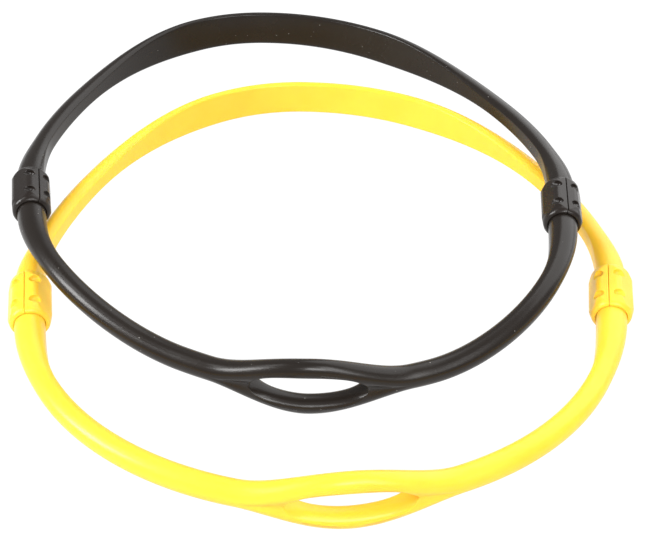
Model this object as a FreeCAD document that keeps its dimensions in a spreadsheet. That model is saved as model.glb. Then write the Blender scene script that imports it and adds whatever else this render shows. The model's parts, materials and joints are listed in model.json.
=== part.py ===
# A pair of moulded silicone neck straps for diving mouthpieces, yellow below and black above.
# Each ring is a rear strap, which widens to a flat band for the nape, and a front strap, which
# forks into an eye for the mouthpiece.  A hard sleeve of two equal half-shells joins their ends
# on each side: a neck and a head at every strap end are trapped in it, and it turns on them.
# Millimetres and degrees.  +X is the wearer's right, +Y runs from the eyes to the nape bands,
# +Z is up, and the pair lies on the plane Z = 0, centred on the Z axis.
import FreeCAD, Part
import math
import os

import Sketcher
from FreeCAD import Placement, Rotation, Vector

UP = Vector(0, 0, 1)

# One moulding serves both colours.
MOULDING = {
    # tube of both straps: rounded outside, flat inside
    "tube_radius": 3.55,
    "tube_flat": 2.7,
    "tube_edge": 3.35,
    # the ends, which swell to fill the sleeves' mouths
    "collar_radius": 4.9,
    "collar_flat": 4.5,
    "collar_edge": 4.7,
    "front_flare": 42.0,
    "rear_flare": 30.0,
    # nape band of the rear strap
    "band_height": 13.7,
    "band_outer": 2.2,
    "band_flat": 1.5,
    "band_edge": 2.6,
    "band_full": 70.0,
    "band_taper": 66.0,
    # mouthpiece eye of the front strap
    "eye_height": 20.9,
    "eye_length": 61.0,
    "slot_length": 35.0,
    "slot_gap": 8.8,
    "slot_bluntness": 0.62,
    "strand_outer": 3.0,
    "strand_flat": 2.7,
    "strand_edge": 3.2,
    "strand_round": 2.6,
    # neck and head inside the sleeve
    "seat_depth": 1.5,
    "neck_radius": 2.3,
    "head_radius": 4.0,
    "head_length": 2.0,
    "running_gap": 0.3,
}

SLEEVE = {
    "sleeve_length": 20.0,
    "sleeve_flats": 12.6,
    "corner_round": 1.4,
    "lip_radius": 5.6,
    "end_round": 2.8,
    "middle_web": 1.2,
    "pit_radius": 1.45,
    "pit_spacing": 9.6,
    "pit_wall": 1.4,
    "pit_rise": 5.7,
    "peg_radius": 0.6,
    "peg_length": 1.1,
    "peg_gap": 0.1,
    "end_peg_wall": 0.25,
    "end_peg_rise": 4.1,
    "middle_peg_rise": 5.5,
    "rebate_depth": 0.12,
    "rebate_width": 0.5,
}

# How each ring lies.  Places are seen from above; toe turns a sleeve's front end inwards, tilt
# turns the middle of a strap in plan, and lean tips the nape band's upper edge outwards.
# A pull is the length of a curve's handle as a share of the strap's half span.  Hold and settle
# are the shares of that half between which the strap changes height.
YELLOW = {
    "left_x": -93.83, "left_y": -23.61, "left_toe": 12.4,
    "right_x": 92.91, "right_y": -20.37, "right_toe": 11.2,
    "eye_x": 7.2, "eye_y": -100.9, "eye_tilt": 5.3,
    "band_x": -6.9, "band_y": 106.0, "band_tilt": -2.4, "band_lean": 0.0,
    "left_front_pull": 0.451, "right_front_pull": 0.454,
    "left_eye_pull": 0.315, "right_eye_pull": 0.32,
    "left_rear_pull": 0.149, "right_rear_pull": 0.169,
    "left_band_pull": 0.48, "right_band_pull": 0.518,
    "front_hold": 0.0, "front_settle": 0.9, "rear_hold": 0.0, "rear_settle": 0.92,
    "sleeve_rise": 8.4, "left_turn": -6.0, "right_turn": 17.0,
}

BLACK = {
    "left_x": -101.27, "left_y": 20.42, "left_toe": 13.35,
    "right_x": 81.29, "right_y": 13.02, "right_toe": 7.75,
    "eye_x": -4.2, "eye_y": -61.2, "eye_tilt": -0.3,
    "band_x": -27.9, "band_y": 147.3, "band_tilt": 0.1, "band_lean": 10.0,
    "left_front_pull": 0.416, "right_front_pull": 0.545,
    "left_eye_pull": 0.192, "right_eye_pull": 0.225,
    "left_rear_pull": 0.207, "right_rear_pull": 0.235,
    "left_band_pull": 0.428, "right_band_pull": 0.42,
    "front_hold": 0.12, "front_settle": 0.61, "rear_hold": 0.0, "rear_settle": 0.58,
    "band_rise": 17.5, "stack_gap": 0.05, "left_tuck": 0.76, "left_turn": 35.0, "right_turn": -9.0,
}


def make_sheet(doc):
    """Put every driving dimension in the spreadsheet, under its alias."""
    sheet = doc.addObject("Spreadsheet::Sheet", "Sheet")
    groups = (("", MOULDING), ("", SLEEVE), ("yellow_", YELLOW), ("black_", BLACK))
    row = 0
    for prefix, group in groups:
        for name, value in group.items():
            row += 1
            sheet.set(f"A{row}", prefix + name)
            sheet.set(f"B{row}", str(value))
            sheet.setAlias(f"B{row}", prefix + name)
    doc.recompute()
    return sheet


def smooth(share):
    """Ease from 0 to 1 with level ends, held outside that range."""
    share = min(max(share, 0.0), 1.0)
    return share * share * (3 - 2 * share)


def mix(first, second, share):
    """Blend two numbers."""
    return first + (second - first) * share


# ---------------------------------------------------------------- sketches

def start_sketch(body, name, plane, lift=None):
    """Open a sketch on one of the body's own planes, lifted off it by an expression."""
    sketch = body.newObject("Sketcher::SketchObject", name)
    base = next(item for item in body.Origin.OriginFeatures if item.Role == plane)
    sketch.AttachmentSupport = (base, "")
    sketch.MapMode = "FlatFace"
    if lift:
        sketch.setExpression(".AttachmentOffset.Base.z", lift)
    return sketch


def drive(sketch, constraint, expression):
    """Add a constraint whose value is an expression on the sheet."""
    number = sketch.addConstraint(constraint)
    sketch.setExpression(f"Constraints[{number}]", expression)


def pin(sketch, edge, end, across, along):
    """Hold one end of an edge at a place given by two expressions."""
    for kind, axis, expression in (("DistanceX", -2, across), ("DistanceY", -1, along)):
        value = sketch.evalExpression(expression)
        if value == 0:
            sketch.addConstraint(Sketcher.Constraint("PointOnObject", edge, end, axis))
        else:
            drive(sketch, Sketcher.Constraint(kind, -1, 1, edge, end, value), expression)


def add_outline(sketch, corners, curved=False):
    """Closed outline through corners given as expressions; the first side may be an arc.

    The arc leaves the second corner square to the sketch's across direction.
    """
    points = [Vector(*[sketch.evalExpression(text) for text in corner]) for corner in corners]
    edges = []
    for index, first in enumerate(points):
        second = points[(index + 1) % len(points)]
        if curved and index == 0:
            step = first - second
            radius = (step.x ** 2 + step.y ** 2) / (2 * abs(step.x))
            centre = Vector(second.x - radius, second.y)
            turns = sorted(math.atan2(point.y - centre.y, point.x - centre.x)
                           for point in (first, second))
            circle = Part.Circle(centre, UP, radius)
            edges.append(sketch.addGeometry(Part.ArcOfCircle(circle, *turns)))
        else:
            edges.append(sketch.addGeometry(Part.LineSegment(first, second)))
    for index, edge in enumerate(edges):
        follower = edges[(index + 1) % len(edges)]
        start, finish = side_ends(sketch, edge, points[index])
        next_start = side_ends(sketch, follower, points[(index + 1) % len(points)])[0]
        sketch.addConstraint(Sketcher.Constraint("Coincident", edge, finish, follower, next_start))
        pin(sketch, edge, start, *corners[index])
        if curved and index == 0:
            sketch.addConstraint(Sketcher.Constraint("Horizontal", edge, 3, edge, finish))


def side_ends(sketch, edge, first):
    """Number of the end that lies at the first corner, and of the other end."""
    starts_there = sketch.getPoint(edge, 1).isEqual(first, 1e-6)
    return (1, 2) if starts_there else (2, 1)


def add_circle(sketch, across, along, radius):
    """Circle with its centre and radius given as expressions."""
    centre = Vector(sketch.evalExpression(across), sketch.evalExpression(along))
    circle = Part.Circle(centre, UP, sketch.evalExpression(radius))
    edge = sketch.addGeometry(circle)
    pin(sketch, edge, 3, across, along)
    drive(sketch, Sketcher.Constraint("Radius", edge, circle.Radius), radius)


def flip(text):
    """Expression with its sign turned."""
    return f"-1 * ({text})"


# ---------------------------------------------------------------- sleeves

LENGTH = "Sheet.sleeve_length"
END = "Sheet.sleeve_length / 2"
CORNER = "Sheet.sleeve_flats / sqrt(3)"
SHOULDER = END + " - Sheet.seat_depth - Sheet.running_gap"
SPARE = 1.0


def sleeve_half(doc, label):
    """One half-shell: axis along Z, seam on X = 0, the shell on the +X side.

    It is its own mate: half a turn about Z brings a second one onto it, pegs in sockets.
    """
    body = doc.addObject("PartDesign::Body", label)
    body.Label = label

    section = start_sketch(body, label + "_section", "XY_Plane")
    add_outline(section, half_hexagon())
    pad = feature(body, "PartDesign::Pad", label + "_blank", section)
    pad.Midplane = True
    pad.setExpression("Length", LENGTH)
    doc.recompute()

    fillet = body.newObject("PartDesign::Fillet", label + "_corners")
    fillet.Base = (pad, long_corner_edges(pad.Shape))
    fillet.setExpression("Radius", "Sheet.corner_round")

    ends = start_sketch(body, label + "_ends", "XZ_Plane")
    for turned in (False, True):
        add_outline(ends, mirrored(end_waste(), turned), curved=True)
    revolve_cut(body, label + "_rounding", ends)

    hollow = start_sketch(body, label + "_hollow", "XZ_Plane")
    for turned in (False, True):
        add_outline(hollow, mirrored(hollow_profile(), turned))
    revolve_cut(body, label + "_seats", hollow)

    pits = start_sketch(body, label + "_pit_circles", "YZ_Plane", "Sheet.pit_wall")
    for rise in ("Sheet.pit_rise", flip("Sheet.pit_rise")):
        for along in ("Sheet.pit_spacing / 2", flip("Sheet.pit_spacing / 2")):
            add_circle(pits, rise, along, "Sheet.pit_radius")
    pocket = feature(body, "PartDesign::Pocket", label + "_pits", pits)
    pocket.Type = "ThroughAll"
    pocket.Reversed = True

    rebate = start_sketch(body, label + "_rebate_frame", "YZ_Plane")
    for inset in ("-" + END + " - 1", "Sheet.rebate_width - " + END):
        side = "Sheet.rebate_width - " + CORNER if "rebate" in inset else "-" + CORNER + " - 1"
        add_outline(rebate, rectangle(side, inset))
    pocket = feature(body, "PartDesign::Pocket", label + "_rebate", rebate)
    pocket.setExpression("Length", "Sheet.rebate_depth")
    pocket.Reversed = True

    pegs = start_sketch(body, label + "_peg_circles", "YZ_Plane")
    sockets = start_sketch(body, label + "_socket_circles", "YZ_Plane")
    for rise, along in peg_places():
        add_circle(pegs, rise, along, "Sheet.peg_radius")
        add_circle(sockets, flip(rise), along, "Sheet.peg_radius + Sheet.peg_gap")
    pocket = feature(body, "PartDesign::Pocket", label + "_sockets", sockets)
    pocket.setExpression("Length", "Sheet.peg_length + Sheet.peg_gap")
    pocket.Reversed = True
    pad = feature(body, "PartDesign::Pad", label + "_pegs", pegs)
    pad.setExpression("Length", "Sheet.peg_length")
    pad.Reversed = True
    return body


def feature(body, kind, name, sketch):
    """Add a feature made from a sketch."""
    result = body.newObject(kind, name)
    result.Profile = sketch
    return result


def revolve_cut(body, name, sketch):
    """Cut a sketch's outlines all round the sleeve's axis."""
    groove = feature(body, "PartDesign::Groove", name, sketch)
    groove.ReferenceAxis = (sketch, ["V_Axis"])
    groove.Angle = 360


def half_hexagon():
    """Corners of the half-hexagon, two of them on the seam."""
    flat = "Sheet.sleeve_flats / 2"
    short = "Sheet.sleeve_flats / sqrt(12)"
    return [("0", flip(CORNER)), (flat, flip(short)), (flat, short), ("0", CORNER)]


def end_waste():
    """Waste outside a rounded end; its arc runs from the lip to the full width."""
    wide = CORNER + " + 0.1"
    below = END + " - Sheet.end_round"
    past = END + " + 1"
    return [("Sheet.lip_radius", END), (wide, below), (wide + " + 1", below),
            (wide + " + 1", past), ("Sheet.lip_radius", past)]


def hollow_profile():
    """Mouth, neck bore and head chamber of one end, from the axis outwards."""
    mouth = "Sheet.collar_radius + Sheet.running_gap"
    neck = "Sheet.neck_radius + Sheet.running_gap"
    chamber = "Sheet.head_radius + Sheet.running_gap"
    roof = "Sheet.middle_web / 2 + Sheet.head_length + 2 * Sheet.running_gap"
    floor = "Sheet.middle_web / 2"
    past = END + " + 1"
    return [("0", past), (mouth, past), (mouth, SHOULDER), (neck, SHOULDER), (neck, roof),
            (chamber, roof), (chamber, floor), ("0", floor)]


def mirrored(corners, turned):
    """The same outline at the sleeve's other end."""
    return [(across, flip(along)) for across, along in corners] if turned else corners


def rectangle(side, foot):
    """Rectangle about the axis from its lower left corner, given as expressions."""
    return [(side, foot), (flip(side), foot), (flip(side), flip(foot)), (side, flip(foot))]


def peg_places():
    """Pegs as (rise from the axis, place along it); each has a socket on the other side."""
    place = SHOULDER + " - Sheet.end_peg_wall - Sheet.peg_gap - Sheet.peg_radius"
    return [("Sheet.end_peg_rise", place), (flip("Sheet.end_peg_rise"), flip(place)),
            ("Sheet.middle_peg_rise", "0")]


def long_corner_edges(shape):
    """Names of the long edges that lie off the seam."""
    names = []
    for index, edge in enumerate(shape.Edges, start=1):
        along = edge.Vertexes[-1].Point - edge.Vertexes[0].Point
        if abs(along.x) + abs(along.y) < 1e-6 and edge.Vertexes[0].Point.x > 1e-6:
            names.append(f"Edge{index}")
    return names


# ---------------------------------------------------------------- straps

class Half:
    """Half a strap's centre line in plan, from a sleeve's mouth to the strap's middle."""

    def __init__(self, mouth, heading, mouth_pull, middle, tilt, middle_pull, climb):
        span = Vector(middle.x - mouth.x, middle.y - mouth.y).Length
        self.poles = [mouth, mouth + heading * (mouth_pull * span),
                      middle + tilt * (middle_pull * span), middle]
        self.heights = (mouth.z, middle.z)
        self.hold, self.settle = climb

    def at(self, share):
        """Point of the centre line; share runs from 0 at the mouth to 1 in the middle."""
        rest = 1 - share
        weights = (rest ** 3, 3 * rest ** 2 * share, 3 * rest * share ** 2, share ** 3)
        point = sum((pole * weight for pole, weight in zip(self.poles, weights)), Vector())
        climbed = smooth((share - self.hold) / (self.settle - self.hold))
        point.z = mix(*self.heights, climbed)
        return point


class Spine:
    """Centre line of a strap, from its left sleeve's mouth to its right one's."""

    STEPS = 160

    def __init__(self, left, right):
        shares = [step / self.STEPS for step in range(self.STEPS + 1)]
        self.points = [left.at(share) for share in shares]
        self.points += [right.at(share) for share in reversed(shares[:-1])]
        self.runs = [0.0]
        for first, second in zip(self.points, self.points[1:]):
            self.runs.append(self.runs[-1] + (second - first).Length)
        self.middle = self.runs[self.STEPS]
        self.length = self.runs[-1]
        self.centre = sum(self.points, Vector()) * (1 / len(self.points))

    def frame(self, run):
        """Point, outward direction and upward direction at a distance along the strap."""
        point, along = self.place(run)
        outward = along.cross(UP).normalize()
        if outward.dot(point - self.centre) < 0:
            outward = -outward
        upward = outward.cross(along).normalize()
        return point, outward, upward if upward.z > 0 else -upward

    def place(self, run):
        """Point and direction at a distance along the strap, straight on past its ends."""
        index = 1
        while index < len(self.runs) - 1 and self.runs[index] < run:
            index += 1
        first, second = self.points[index - 1], self.points[index]
        step = self.runs[index] - self.runs[index - 1]
        point = first + (second - first) * ((run - self.runs[index - 1]) / step)
        if run <= 0 or run >= self.length:
            return point, (second - first).normalize()
        near = max(index - 2, 0)
        far = min(index + 1, len(self.points) - 1)
        return point, (self.points[far] - self.points[near]).normalize()


def d_section(frame, outer, flat, half_height, edge, lean=0.0):
    """Wire of a section: two rounded edges joined by an outer and an inner flat.

    outer and flat are the depths outside and inside of the centre line, edge is the rise over
    which the upper and lower edges are rounded, and lean tips the upper edge outwards.
    """
    point, outward, upward = frame
    tip = math.radians(lean)
    outward, upward = (outward * math.cos(tip) - upward * math.sin(tip),
                       upward * math.cos(tip) + outward * math.sin(tip))
    reach = math.pi - math.acos(flat / outer)
    steps = 6
    rounds = []
    for side in (-1, 1):
        points = []
        for step in range(steps + 1):
            turn = reach * step / steps
            rise = half_height - edge + edge * math.sin(turn)
            points.append(point + outward * (outer * math.cos(turn)) + upward * (side * rise))
        curve = Part.BSplineCurve()
        curve.interpolate(Points=points[::side], Parameters=list(range(steps + 1)))
        rounds.append(curve)
    lower, upper = rounds
    return Part.Wire([lower.toShape(), Part.makeLine(lower.EndPoint, upper.StartPoint),
                      upper.toShape(), Part.makeLine(upper.EndPoint, lower.StartPoint)])


def strap_loft(spine, size_at, seat):
    """Solid through the sections of a strap; its ends lie in the sleeves' seats."""
    count = round(spine.length / SECTION_SPACING)
    runs = [spine.length * index / count for index in range(count + 1)]
    runs = [-seat, *runs, spine.length + seat]
    return Part.makeLoft([d_section(spine.frame(run), *size_at(run)) for run in runs], True)


def trapped_end(values, mouth, inward):
    """Neck and head of a strap's end, from the sleeve's seat to its middle web."""
    half = values["sleeve_length"] / 2
    head = values["middle_web"] / 2 + values["running_gap"] + values["head_length"]
    seat = half - values["seat_depth"]
    neck = Part.makeCylinder(values["neck_radius"], seat - head,
                             mouth + inward * values["seat_depth"], inward)
    disc = Part.makeCylinder(values["head_radius"], values["head_length"],
                             mouth + inward * (half - head), inward)
    return [neck, disc]


def rear_size(values, ring, spine):
    """Section sizes of the rear strap as a function of the distance along it."""
    def size_at(run):
        off_middle = abs(run - spine.length / 2) - values["band_full"] / 2
        band = 1 - smooth(off_middle / values["band_taper"])
        collar = collar_share(spine, run, values["rear_flare"])
        outer = three_way(values, "tube_radius", "band_outer", band, collar, "collar_radius")
        flat = three_way(values, "tube_flat", "band_flat", band, collar, "collar_flat")
        half = mix(mix(values["tube_radius"], values["band_height"] / 2, band),
                   values["collar_radius"], collar)
        edge = three_way(values, "tube_edge", "band_edge", band, collar, "collar_edge")
        return outer, flat, half, edge, ring["band_lean"] * band
    return size_at


def front_size(values, spine):
    """Section sizes of the front strap as a function of the distance along it."""
    def size_at(run):
        off_middle = (run - spine.middle) / (values["eye_length"] / 2)
        eye = max(1 - off_middle ** 2, 0) ** 2
        collar = collar_share(spine, run, values["front_flare"])
        outer = three_way(values, "tube_radius", "strand_outer", eye, collar, "collar_radius")
        flat = three_way(values, "tube_flat", "strand_flat", eye, collar, "collar_flat")
        half = mix(mix(values["tube_radius"], values["eye_height"] / 2, eye),
                   values["collar_radius"], collar)
        edge = three_way(values, "tube_edge", "strand_edge", eye, collar, "collar_edge")
        return outer, flat, half, edge
    return size_at


def three_way(values, tube, middle, share, collar, end):
    """Blend a tube size into its middle size and then into its end size."""
    return mix(mix(values[tube], values[middle], share), values[end], collar)


def collar_share(spine, run, flare):
    """How far a section belongs to the swollen end: 1 at the mouth, 0 past the flare."""
    return 1 - smooth(min(run, spine.length - run) / flare)


def slot_cutter(values, spine):
    """Lens-shaped cutter of the eye, waisted so that both strands come out rounded."""
    reach = max(values["strand_outer"], values["strand_flat"]) + SPARE
    wires = []
    steps = 8
    for step in range(-steps, steps + 1):
        share = math.sin(math.pi / 2 * step / steps)
        point, outward, upward = spine.frame(spine.middle + share * values["slot_length"] / 2)
        waist = values["slot_gap"] / 2 * (1 - share ** 2) ** values["slot_bluntness"] + SLIT
        mouth = waist + (reach / values["strand_outer"]) ** 2 * (
            values["strand_round"] * (1 - share ** 6))
        corners = [point + outward * across + upward * rise
                   for across, rise in ((-reach, mouth), (0, waist), (reach, mouth),
                                        (reach, -mouth), (0, -waist), (-reach, -mouth))]
        top = Part.Arc(*corners[:3]).toShape() if mouth > waist else (
            Part.makeLine(corners[0], corners[2]))
        foot = Part.Arc(*corners[3:]).toShape() if mouth > waist else (
            Part.makeLine(corners[3], corners[5]))
        wires.append(Part.Wire([top, Part.makeLine(corners[2], corners[3]), foot,
                                Part.makeLine(corners[5], corners[0])]))
    return Part.makeLoft(wires, True)


# ---------------------------------------------------------------- rings

class Ring:
    """One neck strap: two straps and two sleeves, from its own values in the sheet."""

    def __init__(self, colour, values, ring, rises):
        self.colour = colour
        self.values = values
        self.ring = ring
        self.rises = rises

    def sleeve_axis(self, side):
        """Centre of a sleeve and the direction of its axis, rear end to front end."""
        toe = math.radians(self.ring[f"{side}_toe"]) * (1 if side == "left" else -1)
        centre = Vector(self.ring[f"{side}_x"], self.ring[f"{side}_y"], self.rises[side])
        return centre, Vector(math.sin(toe), -math.cos(toe), 0)

    def mouth(self, side, strap):
        """Mouth of a sleeve that a strap enters, and the direction out of it."""
        centre, forward = self.sleeve_axis(side)
        heading = forward if strap == "front" else forward * -1
        return centre + heading * (self.values["sleeve_length"] / 2), heading

    def spine(self, strap):
        """Centre line of the front or the rear strap."""
        middle_name = "eye" if strap == "front" else "band"
        middle = Vector(self.ring[f"{middle_name}_x"], self.ring[f"{middle_name}_y"],
                        self.rises[middle_name])
        tilt = math.radians(self.ring[f"{middle_name}_tilt"])
        climb = (self.ring[f"{strap}_hold"], self.ring[f"{strap}_settle"])
        halves = []
        for side, sign in (("left", -1), ("right", 1)):
            mouth, heading = self.mouth(side, strap)
            halves.append(Half(mouth, heading, self.ring[f"{side}_{strap}_pull"], middle,
                               Vector(math.cos(tilt), math.sin(tilt)) * sign,
                               self.ring[f"{side}_{middle_name}_pull"], climb))
        return Spine(*halves)

    def strap(self, doc, strap):
        """Make the front or the rear strap as one moulded solid."""
        spine = self.spine(strap)
        if strap == "front":
            size_at = front_size(self.values, spine)
        else:
            size_at = rear_size(self.values, self.ring, spine)
        body = strap_loft(spine, size_at, self.values["seat_depth"])
        ends = []
        for side in ("left", "right"):
            mouth, heading = self.mouth(side, strap)
            ends += trapped_end(self.values, mouth, heading * -1)
        body = body.fuse(ends).removeSplitter()
        if strap == "front":
            body = body.cut(slot_cutter(self.values, spine))
        node = doc.addObject("Part::Feature", f"{self.colour}_{strap}_strap")
        node.Shape = body
        print(f"{node.Name}: {spine.length:.1f} mm between its sleeves")
        return node

    def sleeve(self, doc, side):
        """Make the two half-shells of a sleeve and put them round the strap ends."""
        centre, forward = self.sleeve_axis(side)
        inward = 1 if side == "left" else -1
        across = UP.cross(forward)
        upright = Rotation(across, UP, forward, "ZXY")
        turn = Rotation(forward, -inward * self.ring[f"{side}_turn"])
        halves = []
        for place, flip_over in (("inner", inward < 0), ("outer", inward > 0)):
            body = sleeve_half(doc, f"{self.colour}_{side}_sleeve_{place}")
            half_turn = Rotation(forward, 180 if flip_over else 0)
            body.Placement = Placement(centre, turn * half_turn * upright)
            halves.append(body)
        return halves

    def build(self, doc):
        """Make every piece of the ring."""
        straps = [self.strap(doc, strap) for strap in ("front", "rear")]
        return straps + self.sleeve(doc, "left") + self.sleeve(doc, "right")


SECTION_SPACING = 9.0
SLIT = 0.08


def stack_rises(values, yellow, black):
    """Heights of both rings' centre lines above the plane that they lie on.

    Yellow lies on its eye and its band, and black on its eye and, with both sleeves, on the
    yellow rear strap.  The left sleeve lies beside that strap's crown, and so a little lower.
    """
    low = yellow["sleeve_rise"]
    eye = values["eye_height"] / 2
    corner = values["sleeve_flats"] / math.sqrt(3)
    over_tube = low + values["tube_radius"] + corner + black["stack_gap"]
    return (
        {"left": low, "right": low, "eye": eye, "band": values["band_height"] / 2},
        {"left": over_tube - black["left_tuck"], "right": over_tube, "eye": eye,
         "band": black["band_rise"]},
    )


def read_values(sheet, prefix, names):
    """Read a group of sizes back from the sheet."""
    return {name: float(sheet.get(prefix + name)) for name in names}


def check(doc, nodes):
    """Stop on a failed object, or a piece that is not one valid solid."""
    for item in doc.Objects:
        if "Invalid" in item.State or "Error" in item.State:
            raise RuntimeError(f"{item.Label} failed: {item.State}")
    for node in nodes:
        if node.Shape.isNull() or not node.Shape.isValid() or len(node.Shape.Solids) != 1:
            raise RuntimeError(f"{node.Label} is not one valid solid")


def centre_on_origin(nodes):
    """Move all the pieces so that their common box stands centred on the origin."""
    box = FreeCAD.BoundBox()
    for node in nodes:
        box.add(node.Shape.optimalBoundingBox(False))
    shift = Vector(-box.Center.x, -box.Center.y, -box.ZMin)
    for node in nodes:
        node.Placement.Base = node.Placement.Base + shift
    return shift, box


def main():
    """Build the pair, check it and write one file for each piece."""
    doc = FreeCAD.newDocument("neck_straps")
    sheet = make_sheet(doc)
    values = read_values(sheet, "", [*MOULDING, *SLEEVE])
    yellow = read_values(sheet, "yellow_", YELLOW)
    black = read_values(sheet, "black_", BLACK)
    rises = stack_rises(values, yellow, black)
    nodes = Ring("yellow", values, yellow, rises[0]).build(doc)
    nodes += Ring("black", values, black, rises[1]).build(doc)
    doc.recompute()
    check(doc, nodes)
    shift, box = centre_on_origin(nodes)
    doc.recompute()
    print(f"shift {shift.x:.3f} {shift.y:.3f} {shift.z:.3f}")
    print(f"box {box.XLength:.2f} x {box.YLength:.2f} x {box.ZLength:.2f} mm")
    os.makedirs("parts", exist_ok=True)
    for node in nodes:
        node.Shape.exportStep(os.path.join("parts", node.Label + ".step"))


main()
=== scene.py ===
"""Looks of a pair of moulded silicone neck straps for diving mouthpieces.

A black ring lies over a yellow one.  Each ring is a front strap with a forked eye, a rear strap
with a flat nape band, and two hexagonal sleeves that turn on the straps' ends.  The places of the
sleeves, eyes and bands come from the frame; metres throughout.
"""

from __future__ import annotations

import json
import logging
import math
from abc import ABC, abstractmethod
from collections.abc import Sequence
from dataclasses import dataclass
from enum import Enum

import bmesh
import bpy
from mathutils import Matrix, Vector

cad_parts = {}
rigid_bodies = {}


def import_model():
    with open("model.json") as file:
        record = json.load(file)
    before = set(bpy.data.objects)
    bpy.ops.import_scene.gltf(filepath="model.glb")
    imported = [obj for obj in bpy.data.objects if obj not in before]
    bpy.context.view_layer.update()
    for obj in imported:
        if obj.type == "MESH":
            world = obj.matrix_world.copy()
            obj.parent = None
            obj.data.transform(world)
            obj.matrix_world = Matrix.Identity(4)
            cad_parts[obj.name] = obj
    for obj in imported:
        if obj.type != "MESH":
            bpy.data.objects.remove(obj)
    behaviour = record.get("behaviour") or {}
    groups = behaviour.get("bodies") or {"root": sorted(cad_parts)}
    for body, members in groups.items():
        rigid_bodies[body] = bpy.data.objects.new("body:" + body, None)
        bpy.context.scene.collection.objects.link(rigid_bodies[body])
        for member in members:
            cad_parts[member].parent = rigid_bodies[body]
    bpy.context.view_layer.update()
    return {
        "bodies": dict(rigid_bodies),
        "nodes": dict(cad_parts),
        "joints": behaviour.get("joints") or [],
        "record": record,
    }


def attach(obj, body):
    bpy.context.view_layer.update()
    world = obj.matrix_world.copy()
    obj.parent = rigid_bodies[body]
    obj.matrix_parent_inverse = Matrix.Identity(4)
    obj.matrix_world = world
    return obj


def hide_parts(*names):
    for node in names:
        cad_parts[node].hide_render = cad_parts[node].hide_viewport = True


MM = 0.001
MERGE = 0.001 * MM
UP = Vector((0, 0, 1))
log = logging.getLogger("neck_straps")

Colour = tuple[float, float, float, float]


class Side(Enum):
    """The two sides of a ring, seen from above with the eye towards the viewer."""

    LEFT = "left"
    RIGHT = "right"

    @property
    def sign(self) -> int:
        """Return -1 on the left and 1 on the right."""
        return -1 if self is Side.LEFT else 1


class Strap(Enum):
    """The two straps of a ring, each with the feature in its middle."""

    FRONT = "front"
    REAR = "rear"

    @property
    def feature(self) -> str:
        """Return the name of the feature in the strap's middle."""
        return "eye" if self is Strap.FRONT else "nape_band"


def smooth(share: float) -> float:
    """Ease from 0 to 1 with level ends, held outside that range."""
    share = min(max(share, 0.0), 1.0)
    return share * share * (3 - 2 * share)


def mix(first: float, second: float, share: float) -> float:
    """Blend two numbers."""
    return first + (second - first) * share


def quarter(steps: int) -> list[float]:
    """Return the angles of a quarter turn in even steps, both ends included."""
    return [math.pi / 2 * step / steps for step in range(steps + 1)]


# ---- shader tools


class Value:
    """A shader socket that takes part in Python arithmetic by adding Math nodes."""

    def __init__(self, graph: Graph, socket: bpy.types.NodeSocket) -> None:
        """Keep the socket and the graph that it belongs to."""
        self.graph = graph
        self.socket = socket

    def _math(self, operation: str, *terms: Value | float) -> Value:
        """Add a Math node for an operation on the given terms."""
        return self.graph.node("ShaderNodeMath", {"operation": operation}, dict(enumerate(terms)))

    def __add__(self, other: Value | float) -> Value:
        """Sum with a value or number."""
        return self._math("ADD", self, other)

    def __sub__(self, other: Value | float) -> Value:
        """Difference from a value or number."""
        return self._math("SUBTRACT", self, other)

    def __rsub__(self, other: float) -> Value:
        """Difference of a number and this value."""
        return self._math("SUBTRACT", other, self)

    def __mul__(self, other: Value | float) -> Value:
        """Multiply by a value or number."""
        return self._math("MULTIPLY", self, other)

    __radd__ = __add__
    __rmul__ = __mul__

    def rise(self, start: float, full: float) -> Value:
        """Return a ramp of this value, smooth from 0 at start to 1 at full."""
        return self.graph.node("ShaderNodeMapRange", {"interpolation_type": "SMOOTHSTEP"},
                               {"Value": self, "From Min": start, "From Max": full})


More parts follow.
